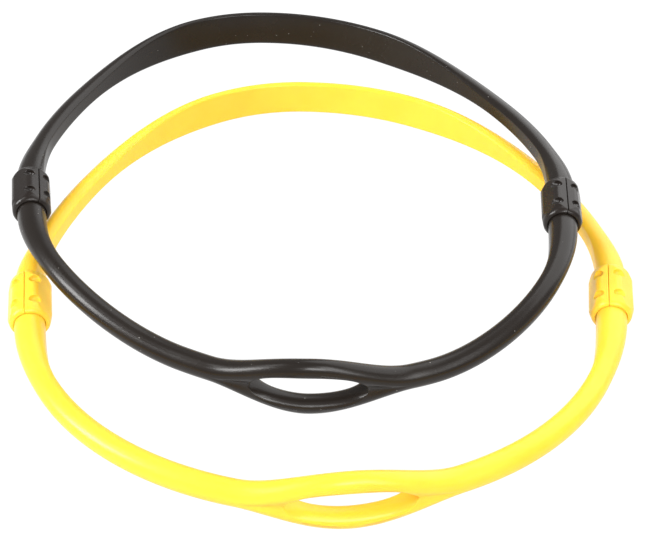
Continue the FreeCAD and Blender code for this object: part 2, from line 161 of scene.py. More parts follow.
class Graph:
    """The node tree of one material, with its surface shader."""

    def __init__(self, name: str) -> None:
        """Start a material with nothing but a Principled surface.

        Args:
            name: The material's name.
        """
        self.material = bpy.data.materials.new(name)
        self.material.use_nodes = True
        self.tree = self.material.node_tree
        self.tree.nodes.clear()
        self.surface = self.tree.nodes.new("ShaderNodeBsdfPrincipled")
        output = self.tree.nodes.new("ShaderNodeOutputMaterial")
        self.tree.links.new(self.surface.outputs["BSDF"], output.inputs["Surface"])

    def node(self, kind: str, settings: dict, inputs: dict, output: int | str = 0) -> Value:
        """Add a node.

        Args:
            kind: The node's type.
            settings: Properties of the node, set before its sockets.
            inputs: Numbers, colours or values by socket name or number.
            output: The socket that the result comes from.

        Returns:
            The chosen output as a value.
        """
        made = self.tree.nodes.new(kind)
        for name, setting in settings.items():
            setattr(made, name, setting)
        for key, given in inputs.items():
            self.feed(made.inputs[key], given)
        return Value(self, made.outputs[output])

    def feed(self, socket: bpy.types.NodeSocket, given: Value | float | Sequence[float]) -> None:
        """Link a value to a socket, or set a plain number or colour on it.

        Args:
            socket: The input.
            given: What it gets.
        """
        if isinstance(given, Value):
            self.tree.links.new(given.socket, socket)
        else:
            socket.default_value = given

    def place(self) -> Value:
        """Return the object coordinates."""
        return self.node("ShaderNodeTexCoord", {}, {}, "Object")

    def noise(self, size: float, detail: float, roughness: float = 0.5) -> Value:
        """Return a noise pattern whose lumps are about size metres wide."""
        return self.node("ShaderNodeTexNoise", {},
                         {"Vector": self.place(), "Scale": 1 / size, "Detail": detail,
                          "Roughness": roughness}, "Fac")

    def blend(self, first: Value | Colour, second: Value | Colour, share: Value) -> Value:
        """Return a colour between two colours, whose sockets are the Mix node's 6 and 7."""
        return self.node("ShaderNodeMix", {"data_type": "RGBA"},
                         {0: share, 6: first, 7: second}, 2)

    def bump(self, height: Value, depth: float) -> Value:
        """Return a normal bumped by a height pattern, at a depth in metres."""
        return self.node("ShaderNodeBump", {},
                         {"Height": height, "Distance": depth, "Strength": 1.0}, "Normal")

    def set_surface(self, **given: Value | float | Sequence[float]) -> None:
        """Set numbers, colours or values on the surface shader, by socket name in snake case."""
        for name, level in given.items():
            title = name.replace("_", " ").title().replace("Ior", "IOR")
            self.feed(self.surface.inputs[title], level)


def tone(red: float, green: float, blue: float) -> Colour:
    """Return a linear colour with full cover."""
    return (red, green, blue, 1.0)


# ---- finishes


@dataclass(frozen=True, kw_only=True)
class Finish:
    """What both finishes share: mottled colour and gloss, a fine grain and a glow from inside.

    The spread says how far red, green and blue travel inside, as shares of the glow's reach.
    """

    name: str
    colour: Colour
    deeper: Colour
    roughness: float
    gloss: float = 0.28
    detail: float
    mottle: float
    mottle_range: tuple[float, float]
    unevenness: float
    grain: float
    grain_depth: float
    grain_roughness: float = 0.6
    glow: float = 0.0
    glow_reach: float
    glow_spread: tuple[float, float, float] = (1.0, 0.55, 0.08)

    def material(self) -> bpy.types.Material:
        """Build the material.

        Returns:
            The material, named after the finish.
        """
        graph = Graph(self.name)
        mottle = graph.noise(self.mottle, self.detail)
        grain = graph.noise(self.grain, self.detail, self.grain_roughness)
        colour = graph.blend(self.colour, self.deeper, mottle.rise(*self.mottle_range))
        rough = mottle * self.unevenness + (self.roughness - self.unevenness / 2)
        colour, rough = self.soiled(graph, colour, rough)
        graph.set_surface(base_color=colour, roughness=rough, specular_ior_level=self.gloss,
                          normal=graph.bump(grain, self.grain_depth))
        if self.glow:
            graph.set_surface(subsurface_weight=self.glow, subsurface_scale=self.glow_reach,
                              subsurface_radius=self.glow_spread)
        return graph.material

    def soiled(self, graph: Graph, colour: Value, rough: Value) -> tuple[Value, Value]:
        """Return the colour and the roughness as they are, since a plain finish stays clean."""
        return colour, rough


@dataclass(frozen=True, kw_only=True)
class Silicone(Finish):
    """Satin moulded silicone rubber, faintly uneven, with dust that clings to it.

    The dust lies in cells a spacing apart, of which the clean share holds no speck.
    """

    detail: float = 3.0
    mottle: float = 16 * MM
    mottle_range: tuple[float, float] = (0.35, 0.75)
    unevenness: float = 0.10
    grain: float = 0.35 * MM
    grain_depth: float = 0.012 * MM
    glow_reach: float = 2.0 * MM
    dust: Colour
    dust_cover: float = 0.7
    dust_dulling: float = 0.25
    speck_spacing: float = 2.4 * MM
    speck_radius: float = 0.13 * MM
    speck_fade: float = 0.4
    clean_share: float = 0.55
    clean_fade: float = 0.05

    def soiled(self, graph: Graph, colour: Value, rough: Value) -> tuple[Value, Value]:
        """Scatter small specks of dust over the rubber.

        Args:
            graph: The material's nodes.
            colour: The clean colour.
            rough: The clean roughness.

        Returns:
            The dusty colour and roughness.
        """
        inputs = {"Vector": graph.place(), "Scale": 1 / self.speck_spacing}
        near = graph.node("ShaderNodeTexVoronoi", {}, inputs, "Distance")
        cell = graph.node("ShaderNodeTexVoronoi", {}, inputs, "Color")
        radius = self.speck_radius / self.speck_spacing
        spot = 1 - near.rise(radius * (1 - self.speck_fade), radius * (1 + self.speck_fade))
        specks = spot * cell.rise(self.clean_share, self.clean_share + self.clean_fade)
        return (graph.blend(colour, self.dust, specks * self.dust_cover),
                rough + specks * self.dust_dulling)


@dataclass(frozen=True, kw_only=True)
class HardPlastic(Finish):
    """Satin injection-moulded plastic with a fine spark-eroded grain."""

    detail: float = 2.0
    mottle: float = 6 * MM
    mottle_range: tuple[float, float] = (0.3, 0.8)
    unevenness: float = 0.08
    grain: float = 0.22 * MM
    grain_depth: float = 0.010 * MM
    glow_reach: float = 1.0 * MM


YELLOW = tone(0.93, 0.57, 0.044)
DEEP_YELLOW = tone(0.91, 0.54, 0.036)
YELLOW_SILICONE = Silicone(
    name="yellow_silicone", colour=YELLOW, deeper=DEEP_YELLOW, dust=tone(1.0, 0.9, 0.5),
    roughness=0.30, glow=0.45, clean_share=0.9,
)
YELLOW_PLASTIC = HardPlastic(
    name="yellow_plastic", colour=YELLOW, deeper=DEEP_YELLOW, roughness=0.30, glow=0.35,
)
BLACK_SILICONE = Silicone(
    name="black_silicone", colour=tone(0.0125, 0.0096, 0.0078),
    deeper=tone(0.0145, 0.0112, 0.0090), dust=tone(0.45, 0.43, 0.40), roughness=0.27,
)
BLACK_PLASTIC = HardPlastic(
    name="black_plastic", colour=tone(0.0135, 0.0102, 0.0085),
    deeper=tone(0.0155, 0.0118, 0.0098), roughness=0.27,
)


# ---- mesh tools


def add_object(mesh: bpy.types.Mesh) -> bpy.types.Object:
    """Put a mesh into the scene as an object of the same name at the origin."""
    made = bpy.data.objects.new(mesh.name, mesh)
    bpy.context.scene.collection.objects.link(made)
    return made


def new_shape(name: str, bm: bmesh.types.BMesh) -> bpy.types.Object:
    """Turn a bmesh into an object at the origin.

    Args:
        name: Name of the object and its mesh.
        bm: The finished shape, which is freed.

    Returns:
        The object, linked to the scene.
    """
    bmesh.ops.recalc_face_normals(bm, faces=bm.faces)
    mesh = bpy.data.meshes.new(name)
    bm.to_mesh(mesh)
    bm.free()
    return add_object(mesh)


def dress(mesh: bpy.types.Mesh, material: bpy.types.Material) -> None:
    """Give a mesh its only material and smooth shading."""
    mesh.materials.clear()
    mesh.materials.append(material)
    mesh.shade_smooth()


def new_piece(name: str, bm: bmesh.types.BMesh, material: bpy.types.Material) -> bpy.types.Object:
    """Turn a bmesh into a piece at the origin, with its material."""
    piece = new_shape(name, bm)
    dress(piece.data, material)
    return piece


def sweep(bm: bmesh.types.BMesh, rings: Sequence[Sequence[Vector]], lids: Sequence[bool]) -> None:
    """Extrude a closed outline from ring to ring.

    Args:
        bm: The mesh that the skin is added to.
        rings: Points of each outline; all have the same number.
        lids: Whether the first and the last outline are closed.
    """
    ring = bmesh.ops.create_circle(bm, segments=len(rings[0]), radius=1.0)["verts"]
    for vertex, place in zip(ring, rings[0]):
        vertex.co = place
    first = edges = list({edge for vertex in ring for edge in vertex.link_edges})
    for places in rings[1:]:
        grown = bmesh.ops.extrude_edge_only(bm, edges=edges)["geom"]
        fresh = {item for item in grown if isinstance(item, bmesh.types.BMVert)}
        ring = [next(edge.other_vert(vertex) for edge in vertex.link_edges
                     if edge.other_vert(vertex) in fresh) for vertex in ring]
        edges = [item for item in grown if isinstance(item, bmesh.types.BMEdge)
                 and item.verts[0] in fresh and item.verts[1] in fresh]
        for vertex, place in zip(ring, places):
            vertex.co = place
    for rim, lid in zip((first, edges), lids):
        if lid:
            bmesh.ops.contextual_create(bm, geom=rim)


# ---- the straps' route


@dataclass(frozen=True)
class Bend:
    """How one strap runs from the sleeves to its middle.

    A pull is the length of a curve's handle as a share of the half strap's span.  The climb gives
    the shares of the half strap between which it changes height.
    """

    mouth_pulls: dict[Side, float]
    middle_pulls: dict[Side, float]
    climb: tuple[float, float]


@dataclass(frozen=True)
class Lay:
    """How one ring lies, with the turns of its sleeves and the lean of its band in degrees."""

    bends: dict[Strap, Bend]
    sleeve_turns: dict[Side, float]
    band_lean: float = 0.0


def sides(left: float, right: float) -> dict[Side, float]:
    """Pair a value for each side."""
    return {Side.LEFT: left, Side.RIGHT: right}


YELLOW_LAY = Lay(
    bends={Strap.FRONT: Bend(sides(0.408, 0.441), sides(0.312, 0.308), climb=(0.0, 0.9)),
           Strap.REAR: Bend(sides(0.149, 0.169), sides(0.48, 0.518), climb=(0.0, 0.92))},
    sleeve_turns=sides(-6, 17),
)
BLACK_LAY = Lay(
    bends={Strap.FRONT: Bend(sides(0.405, 0.535), sides(0.176, 0.212), climb=(0.12, 0.61)),
           Strap.REAR: Bend(sides(0.207, 0.235), sides(0.428, 0.42), climb=(0.0, 0.58))},
    sleeve_turns=sides(35, -9), band_lean=10.0,
)


@dataclass(frozen=True)
class Place:
    """A point of the frame with the direction that belongs to it."""

    point: Vector
    axis: Vector


@dataclass(frozen=True)
class Places:
    """Where the frame puts a ring's sleeves, eye and nape band."""

    sleeves: dict[Side, Place]
    features: dict[Strap, Place]

    @classmethod
    def read(cls, frame: dict, colour: str) -> Places:
        """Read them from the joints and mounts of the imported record.

        Args:
            colour: Which ring.

        Returns:
            The ring's places.
        """
        joints = {joint["name"]: joint for joint in frame["joints"]}
        mounts = {mount["name"]: mount for mount in frame["record"]["mounts"]}

        def place(entry: dict) -> Place:
            """Turn a joint or mount into a place."""
            return Place(Vector(entry["pos_m"]), Vector(entry["axis"]).normalized())

        sleeves = {side: place(joints[f"{colour}_{side.value}_sleeve_turn"]) for side in Side}
        features = {strap: place(mounts[f"{colour}_{strap.feature}"]) for strap in Strap}
        return cls(sleeves, features)


@dataclass(frozen=True)
class Station:
    """A point of a strap with its outward and upward directions."""

    point: Vector
    outward: Vector
    upward: Vector

    def at(self, across: float, rise: float) -> Vector:
        """Return the point at a distance outwards and upwards."""
        return self.point + self.outward * across + self.upward * rise

    def leaning(self, degrees: float) -> Station:
        """Tip the upper edge outwards.

        Args:
            degrees: How far.

        Returns:
            The leaning station.
        """
        turn = math.radians(degrees)
        return Station(self.point,
                       self.outward * math.cos(turn) - self.upward * math.sin(turn),
                       self.upward * math.cos(turn) + self.outward * math.sin(turn))


class HalfRoute:
    """Half a strap's centre line, a cubic curve from a sleeve's mouth to the strap's middle."""

    HEADING_STEP = 1e-3

    def __init__(self, mouth: Vector, start: Vector, middle: Vector, finish: Vector,
                 climb: tuple[float, float]) -> None:
        """Keep the curve's poles.

        Args:
            mouth: The sleeve's mouth.
            start: Handle at the mouth.
            middle: The strap's middle.
            finish: Handle at the middle.
            climb: Shares between which the height changes.
        """
        self.poles = [mouth, mouth + start, middle + finish, middle]
        self.hold, self.settle = climb

    def at(self, share: float) -> Vector:
        """Find a point of the curve.

        Args:
            share: From 0 at the mouth to 1 at the middle.

        Returns:
            The point.
        """
        rest = 1 - share
        weights = (rest ** 3, 3 * rest ** 2 * share, 3 * rest * share ** 2, share ** 3)
        point = sum((pole * weight for pole, weight in zip(self.poles, weights)), Vector())
        climbed = smooth((share - self.hold) / (self.settle - self.hold))
        point.z = mix(self.poles[0].z, self.poles[-1].z, climbed)
        return point

    def heading(self, share: float) -> Vector:
        """Return the direction at a share of the curve, towards the middle."""
        ahead = self.at(min(share + self.HEADING_STEP, 1.0))
        return (ahead - self.at(max(share - self.HEADING_STEP, 0.0))).normalized()


class Route:
    """Centre line of a strap from its left sleeve's mouth to its right one's."""

    STEPS = 400

    def __init__(self, halves: dict[Side, HalfRoute], strap: Strap) -> None:
        """Measure both halves.

        Args:
            halves: The curve of each side.
            strap: Which strap it is, since the two run round the ring in opposite ways.
        """
        self.halves = halves
        self.facing = -1 if strap is Strap.FRONT else 1
        self.reach = {}
        for side, half in halves.items():
            points = [half.at(step / self.STEPS) for step in range(self.STEPS + 1)]
            runs = [0.0]
            for first, second in zip(points, points[1:]):
                runs.append(runs[-1] + (second - first).length)
            self.reach[side] = runs
        self.middle = self.reach[Side.LEFT][-1]
        self.length = self.middle + self.reach[Side.RIGHT][-1]

    def station(self, run: float) -> Station:
        """Find a station of the strap, straight on past its ends.

        Args:
            run: Distance along the strap from its left end.

        Returns:
            The point with its outward and upward directions.
        """
        side = Side.LEFT if run <= self.middle else Side.RIGHT
        far = run if side is Side.LEFT else self.length - run
        share = self._share(side, max(far, 0.0))
        half = self.halves[side]
        heading = half.heading(share)
        point = half.at(share) + heading * min(far, 0.0)
        across = heading.cross(UP).normalized()
        return Station(point, across * side.sign * self.facing, across.cross(heading).normalized())

    def _share(self, side: Side, run: float) -> float:
        """Turn a distance from a mouth into a share of that half's curve.

        Args:
            side: Which half.
            run: The distance.

        Returns:
            The share, from 0 to 1.
        """
        runs = self.reach[side]
        low, high = 0, self.STEPS
        while high - low > 1:
            between = (low + high) // 2
            low, high = (between, high) if runs[between] < run else (low, between)
        inside = (run - runs[low]) / (runs[high] - runs[low])
        return min((low + inside) / self.STEPS, 1.0)


# ---- straps


@dataclass(frozen=True)
class Section:
    """Sizes of a strap's section, which is rounded outside and flat inside.

    The edge is the height over which the top and the bottom are rounded.
    """

    outer: float
    flat: float
    half_height: float
    edge: float

    def blend(self, other: Section, share: float) -> Section:
        """Return the section between this one and another."""
        return Section(*(mix(getattr(self, name), getattr(other, name), share)
                         for name in ("outer", "flat", "half_height", "edge")))


@dataclass(frozen=True)
class Slot:
    """Opening of an eye at one station: half its height at its crease and at its two mouths."""

    crease: float
    outer_mouth: float
    inner_mouth: float


@dataclass
class StrapMoulding(ABC):
    """What the front and the rear strap share: the tube, the collars and the trapped ends."""

    tube: Section = Section(outer=3.6 * MM, flat=2.8 * MM, half_height=3.6 * MM, edge=3.4 * MM)
    collar: Section = Section(outer=4.76 * MM, flat=4.68 * MM, half_height=4.76 * MM,
                              edge=4.76 * MM)
    flare: float = 30 * MM
    seat_depth: float = 1.5 * MM
    neck_radius: float = 2.3 * MM
    head_radius: float = 4.0 * MM
    head_foot: float = 7.1 * MM
    head_top: float = 9.1 * MM
    corner_round: float = 0.28 * MM
    spacing: float = 1.0 * MM
    straight_steps: int = 8
    round_steps: int = 14
    corner_steps: int = 3
    flat_steps: int = 4

    def outline(self, section: Section, low_outer: float = 0.0, low_inner: float = 0.0,
                dip: float = 0.0) -> list[tuple[float, float]]:
        """Return the upper half of a section, from its outer middle to its inner middle.

        Args:
            section: The section's sizes.
            low_outer: Height at which the outer face starts.
            low_inner: Height at which the inner face ends.
            dip: Depth of a valley along the outer middle.

        Returns:
            Points as distances outwards and upwards.
        """
        shoulder = section.half_height - section.edge
        points = []
        for step in range(self.straight_steps):
            rise = mix(low_outer, shoulder, step / self.straight_steps)
            hollow = dip * (1 - smooth(rise / shoulder)) if shoulder else 0.0
            points.append((section.outer - hollow, rise))
        reach = math.pi - math.acos(section.flat / section.outer)
        short = reach - self.corner_round / section.outer

        def rim(turn: float) -> tuple[float, float]:
            """Return the point of the rounded edge at a turn from the outside."""
            return (section.outer * math.cos(turn), shoulder + section.edge * math.sin(turn))

        points += [rim(short * step / self.round_steps) for step in range(self.round_steps + 1)]
        enter, corner = points[-1], rim(reach)
        leave = (-section.flat, corner[1] - self.corner_round)
        for step in range(1, self.corner_steps):
            share = step / self.corner_steps
            points.append(tuple(mix(mix(start, bend, share), mix(bend, end, share), share)
                                for start, bend, end in zip(enter, corner, leave)))
        points += [(-section.flat, mix(leave[1], low_inner, step / self.flat_steps))
                   for step in range(self.flat_steps + 1)]
        return points

    def closed(self, station: Station, section: Section, dip: float = 0.0) -> list[Vector]:
        """Return a whole section's outline in place."""
        upper = self.outline(section, dip=dip)
        lower = [(across, -rise) for across, rise in upper[-2:0:-1]]
        return [station.at(*point) for point in upper + lower]

    def disc(self, route: Route, run: float, radius: float) -> list[Vector]:
        """Outline the trapped end at one place.

        Args:
            route: The centre line.
            run: Distance along it.
            radius: The end's radius there.

        Returns:
            A circle with as many points as a section's outline.
        """
        station = route.station(run)
        count = 2 * (len(self.outline(self.tube)) - 1)
        turns = [2 * math.pi * step / count for step in range(count)]
        return [station.at(radius * math.cos(turn), radius * math.sin(turn)) for turn in turns]

    def trapped_end(self, route: Route, right: bool) -> list[list[Vector]]:
        """Outline what one end has inside its sleeve, from the strap outwards.

        Args:
            route: The centre line.
            right: Whether it is the right end.

        Returns:
            The outlines of the collar's end and of both ends of the neck and the head.
        """
        depths = (self.seat_depth, self.head_foot, self.head_foot, self.head_top)
        radii = (self.neck_radius, self.neck_radius, self.head_radius, self.head_radius)
        runs = [route.length + depth if right else -depth for depth in depths]
        collar = self.closed(route.station(runs[0]), self.collar)
        return [collar] + [self.disc(route, run, radius) for run, radius in zip(runs, radii)]

    def swollen(self, section: Section, route: Route, run: float) -> Section:
        """Return a section with its share of the collar near the strap's ends."""
        share = 1 - smooth(min(run, route.length - run) / self.flare)
        return section.blend(self.collar, share)

    def build(self, name: str, route: Route, material: bpy.types.Material) -> bpy.types.Object:
        """Build the strap as one moulding.

        Args:
            name: Name of the piece.
            route: Its centre line.
            material: Its silicone.

        Returns:
            The strap.
        """
        bm = bmesh.new()
        self.shape(bm, route)
        return new_piece(name, bm, material)

    @abstractmethod
    def shape(self, bm: bmesh.types.BMesh, route: Route) -> None:
        """Add the whole skin to a mesh, along a centre line."""


@dataclass
class RearStrap(StrapMoulding):
    """Strap that widens to the flat band at the nape."""

    tube: Section = Section(outer=3.75 * MM, flat=3.0 * MM, half_height=3.62 * MM, edge=3.42 * MM)
    band: Section = Section(outer=2.2 * MM, flat=1.5 * MM, half_height=6.85 * MM, edge=2.6 * MM)
    band_full: float = 84 * MM
    band_taper: float = 70 * MM
    flare: float = 25 * MM
    lean: float = 0.0

    def section(self, route: Route, run: float) -> tuple[Section, float]:
        """Return the section at a distance along the strap, and how much of it is band."""
        off_middle = abs(run - route.length / 2) - self.band_full / 2
        share = 1 - smooth(off_middle / self.band_taper)
        return self.swollen(self.tube.blend(self.band, share), route, run), share

    def shape(self, bm: bmesh.types.BMesh, route: Route) -> None:
        """Sweep the strap in one run.

        Args:
            bm: The mesh that it is added to.
            route: The centre line.
        """
        count = round(route.length / self.spacing)
        rings = []
        for index in range(count + 1):
            run = route.length * index / count
            section, share = self.section(route, run)
            rings.append(self.closed(route.station(run).leaning(self.lean * share), section))
        rings = self.trapped_end(route, False)[::-1] + rings + self.trapped_end(route, True)
        sweep(bm, rings, (True, True))


@dataclass
class FrontStrap(StrapMoulding):
    """Strap that forks into two strands round the mouthpiece's slot."""

    eye: Section = Section(outer=3.0 * MM, flat=2.7 * MM, half_height=10.45 * MM, edge=3.2 * MM)
    eye_length: float = 61 * MM
    slot_length: float = 35 * MM
    slot_gap: float = 8.8 * MM
    slot_bluntness: float = 0.62
    tip_power: int = 6
    roll: float = 2.8 * MM
    crease_depth: float = 0.5 * MM
    back_round: float = 1.8 * MM
    crease_place: float = 0.0
    crease_kink: float = 0.5 * MM
    valley: float = 0.9 * MM
    valley_reach: float = 11 * MM
    slot_steps: int = 44
    back_steps: int = 7
    roll_steps: int = 12

    def section(self, route: Route, run: float) -> Section:
        """Return the section at a distance along the strap, as if it had no slot."""
        off_middle = (run - route.middle) / (self.eye_length / 2)
        share = max(1 - off_middle ** 2, 0.0) ** 2
        return self.swollen(self.tube.blend(self.eye, share), route, run)

    def slot(self, share: float) -> Slot:
        """Work out the slot's opening at one place.

        Args:
            share: Share of its half length, from -1 to 1.

        Returns:
            The opening there.
        """
        gap = self.slot_gap / 2 * (1 - share ** 2) ** self.slot_bluntness
        ease = 1 - share ** self.tip_power
        return Slot(gap + self.crease_depth * ease, gap + self.roll * ease,
                    gap + self.back_round * ease)

    def dip(self, route: Route, run: float) -> float:
        """Return the depth of the valley that runs out from the slot's tips over the web."""
        off_tip = abs(run - route.middle) - self.slot_length / 2
        return self.valley * (1 - smooth(abs(off_tip) / self.valley_reach))

    def wall(self, start: float, section: Section, slot: Slot) -> list[tuple[float, float]]:
        """Return the slot's upper wall from its inner to its outer mouth, ends left out.

        Args:
            start: How far out from the centre line the outer mouth lies.
            section: The section's sizes.
            slot: The slot's opening there.

        Returns:
            A rounded back wall, a crease and a roll, as distances outwards and upwards.
        """
        points = [(mix(self.crease_place, -section.flat, math.cos(turn)),
                   mix(slot.inner_mouth, slot.crease, math.sin(turn)))
                  for turn in quarter(self.back_steps)[1:-1]]
        centre = self.crease_place - self.crease_kink
        wide = start - centre
        turns = math.pi / 2 - math.asin(self.crease_kink / wide)
        fall = (slot.outer_mouth - slot.crease) / math.sin(turns)
        for step in range(self.roll_steps):
            turn = turns * (1 - step / self.roll_steps)
            points.append((centre + wide * math.cos(turn),
                           slot.outer_mouth - fall * math.sin(turn)))
        return points

    def shape(self, bm: bmesh.types.BMesh, route: Route) -> None:
        """Sweep both arms outwards from the slot's tips, then the strands between them.

        Args:
            bm: The mesh that they are added to.
            route: The centre line.
        """
        reach = self.slot_length / 2
        for right in (False, True):
            near = route.middle + reach if right else route.middle - reach
            far = route.length if right else 0.0
            count = round(abs(far - near) / self.spacing)
            runs = [mix(near, far, index / count) for index in range(count + 1)]
            rings = [self.closed(route.station(run), self.section(route, run),
                                 self.dip(route, run)) for run in runs]
            sweep(bm, rings + self.trapped_end(route, right), (False, True))
        self._strands(bm, route)
        bmesh.ops.remove_doubles(bm, verts=bm.verts, dist=MERGE)

    def _strands(self, bm: bmesh.types.BMesh, route: Route) -> None:
        """Sweep the upper and the lower strand between the slot's tips.

        Args:
            bm: The mesh that they are added to.
            route: The centre line.
        """
        reach = self.slot_length / 2
        for way in (1, -1):
            rings = []
            for step in range(-self.slot_steps, self.slot_steps + 1):
                share = math.sin(math.pi / 2 * step / self.slot_steps)
                run = route.middle + share * reach
                section, slot = self.section(route, run), self.slot(share)
                outline = self.outline(section, slot.outer_mouth, slot.inner_mouth,
                                       self.dip(route, run))
                outline += self.wall(outline[0][0], section, slot)
                station = route.station(run)
                rings.append([station.at(across, rise * way) for across, rise in outline])
            sweep(bm, rings, (False, False))


# ---- sleeves


@dataclass
class SleeveMoulding:
    """One half-shell of a sleeve, which is its own mate after half a turn.

    It is made with its axis on Z, its seam on X = 0 and the shell on the +X side.  The bead that
    rounds its ends starts bead_leave degrees past the barrel's side.
    """

    length: float = 20 * MM
    flats: float = 12.6 * MM
    corner_round: float = 2.2 * MM
    lip_round: float = 0.2 * MM
    bead_across: float = 1.45 * MM
    bead_along: float = 2.2 * MM
    bead_leave: float = 8.0
    end_taper: float = 4.4 * MM
    mouth_radius: float = 4.82 * MM
    neck_bore: float = 2.6 * MM
    chamber_radius: float = 4.3 * MM
    shoulder: float = 8.2 * MM
    chamber_roof: float = 3.2 * MM
    chamber_floor: float = 0.6 * MM
    pit_radius: float = 1.45 * MM
    pit_spacing: float = 9.6 * MM
    pit_wall: float = 1.4 * MM
    pit_rise: float = 5.7 * MM
    seam_gap: float = 0.04 * MM
    rebate_width: float = 0.13 * MM
    rebate_depth: float = 0.7 * MM
    voxel: float = 0.14 * MM
    melt_rounds: int = 4
    melt_factor: float = 0.5
    segments: int = 72
    corner_steps: int = 6
    bead_steps: int = 10
    lip_steps: int = 5
    nose_steps: int = 8

    @property
    def corner(self) -> float:
        """Return the distance of the hexagon's corners from the axis."""
        return self.flats / math.sqrt(3)

    def blank(self) -> bpy.types.Object:
        """Make the half hexagon with its rounded long corners and the rebate at its seam.

        Returns:
            The solid that the rest is carved from.
        """
        bm = bmesh.new()
        corners_on_x = Matrix.Rotation(math.pi / 2, 4, "Z")
        base = bmesh.ops.create_circle(bm, segments=6, radius=self.corner, cap_ends=True,
                                       matrix=corners_on_x)
        bmesh.ops.translate(bm, verts=base["verts"], vec=(0, 0, -self.length / 2))
        grown = bmesh.ops.extrude_face_region(bm, geom=list(bm.faces))["geom"]
        raised = [item for item in grown if isinstance(item, bmesh.types.BMVert)]
        bmesh.ops.translate(bm, verts=raised, vec=(0, 0, self.length))
        upright = [edge for edge in bm.edges
                   if abs(edge.verts[0].co.z - edge.verts[1].co.z) > self.length / 2]
        setback = self.corner_round * math.tan(math.pi / 6)
        bmesh.ops.bevel(bm, geom=upright, offset=setback, offset_type="OFFSET",
                        segments=self.corner_steps, profile=0.5, affect="EDGES", material=-1)
        cut = bmesh.ops.bisect_plane(bm, geom=bm.verts[:] + bm.edges[:] + bm.faces[:],
                                     plane_co=(self.seam_gap / 2, 0, 0), plane_no=(1, 0, 0),
                                     clear_inner=True)["geom_cut"]
        rim = [item for item in cut if isinstance(item, bmesh.types.BMEdge)]
        seam = bmesh.ops.contextual_create(bm, geom=rim)["faces"]
        bmesh.ops.inset_region(bm, faces=seam, thickness=self.rebate_depth)
        rebate = {vertex for edge in rim for vertex in edge.verts}
        bmesh.ops.translate(bm, verts=list(rebate), vec=(self.rebate_width, 0, 0))
        return new_shape("blank", bm)

    def turned(self, name: str, profile: Sequence[tuple[float, float]]) -> bpy.types.Object:
        """Make a solid of revolution.

        Args:
            name: Name of the solid.
            profile: Radius and height of each point, from one place on the axis to another.

        Returns:
            The solid, about Z.
        """
        bm = bmesh.new()
        corners = [bm.verts.new((radius, 0, height)) for radius, height in profile]
        edges = [bm.edges.new(pair) for pair in zip(corners, corners[1:])]
        bmesh.ops.spin(bm, geom=corners + edges, cent=(0, 0, 0), axis=(0, 0, 1), dvec=(0, 0, 0),
                       angle=2 * math.pi, steps=self.segments, use_merge=True)
        bmesh.ops.remove_doubles(bm, verts=bm.verts, dist=MERGE)
        return new_shape(name, bm)

    def barrel(self) -> bpy.types.Object:
        """Make the turned barrel that gives both ends a round bead and tapers the ridges to it.

        Returns:
            The solid that the shell stays inside.
        """
        end = self.length / 2
        crown = self.mouth_radius + self.lip_round
        leave = math.radians(self.bead_leave)
        turns = [mix(leave, math.pi / 2, step / self.bead_steps)
                 for step in range(self.bead_steps + 1)]
        top = [(self.corner, end - self.end_taper)]
        top += [(crown + self.bead_across * math.cos(turn),
                 end - self.bead_along * (1 - math.sin(turn))) for turn in turns]
        top.append((0.0, end))
        return self.turned("barrel", [(radius, -height) for radius, height in top[::-1]] + top)

    def hollow(self) -> bpy.types.Object:
        """Make the turned core: a mouth with a rounded lip, a neck bore and a head chamber.

        Returns:
            The core of the sleeve's upper end.
        """
        end = self.length / 2
        past = end + MM
        lip = [(self.mouth_radius + self.lip_round * (1 - math.cos(turn)),
                end - self.lip_round * (1 - math.sin(turn)))
               for turn in quarter(self.lip_steps)[::-1]]
        return self.turned("hollow", [
            (0.0, past), (lip[0][0], past), *lip, (self.mouth_radius, self.shoulder),
            (self.neck_bore, self.shoulder), (self.neck_bore, self.chamber_roof),
            (self.chamber_radius, self.chamber_roof), (self.chamber_radius, self.chamber_floor),
            (0.0, self.chamber_floor)])

    def pit(self, rise: float, along: float) -> bpy.types.Object:
        """Make the round-nosed core of one coring pit, which opens outwards.

        Args:
            rise: Where the pit lies across the seam.
            along: Where it lies along the sleeve.

        Returns:
            The core, in place.
        """
        nose = [(self.pit_radius * math.sin(turn), self.pit_radius * (1 - math.cos(turn)))
                for turn in quarter(self.nose_steps)]
        pit = self.turned("pit", [*nose, (self.pit_radius, self.flats), (0.0, self.flats)])
        pit.data.transform(Matrix.Translation((self.pit_wall, rise, along))
                           @ Matrix.Rotation(math.pi / 2, 4, "Y"))
        return pit

    def half(self) -> bpy.types.Mesh:
        """Carve one half-shell and soften its edges.

        Returns:
            The mesh, in the moulding's own frame.
        """
        shell = self.blank()
        self._carve(shell, self.barrel(), "INTERSECT")
        for turn in (0.0, math.pi):
            hollow = self.hollow()
            hollow.data.transform(Matrix.Rotation(turn, 4, "X"))
            self._carve(shell, hollow, "DIFFERENCE")
        for rise in (-self.pit_rise, self.pit_rise):
            for along in (-self.pit_spacing / 2, self.pit_spacing / 2):
                self._carve(shell, self.pit(rise, along), "DIFFERENCE")
        remesh = shell.modifiers.new("moulded", "REMESH")
        remesh.mode = "VOXEL"
        remesh.voxel_size = self.voxel
        melt = shell.modifiers.new("melt", "SMOOTH")
        melt.factor = self.melt_factor
        melt.iterations = self.melt_rounds
        mesh = self._applied(shell)
        bpy.data.objects.remove(shell)
        return mesh

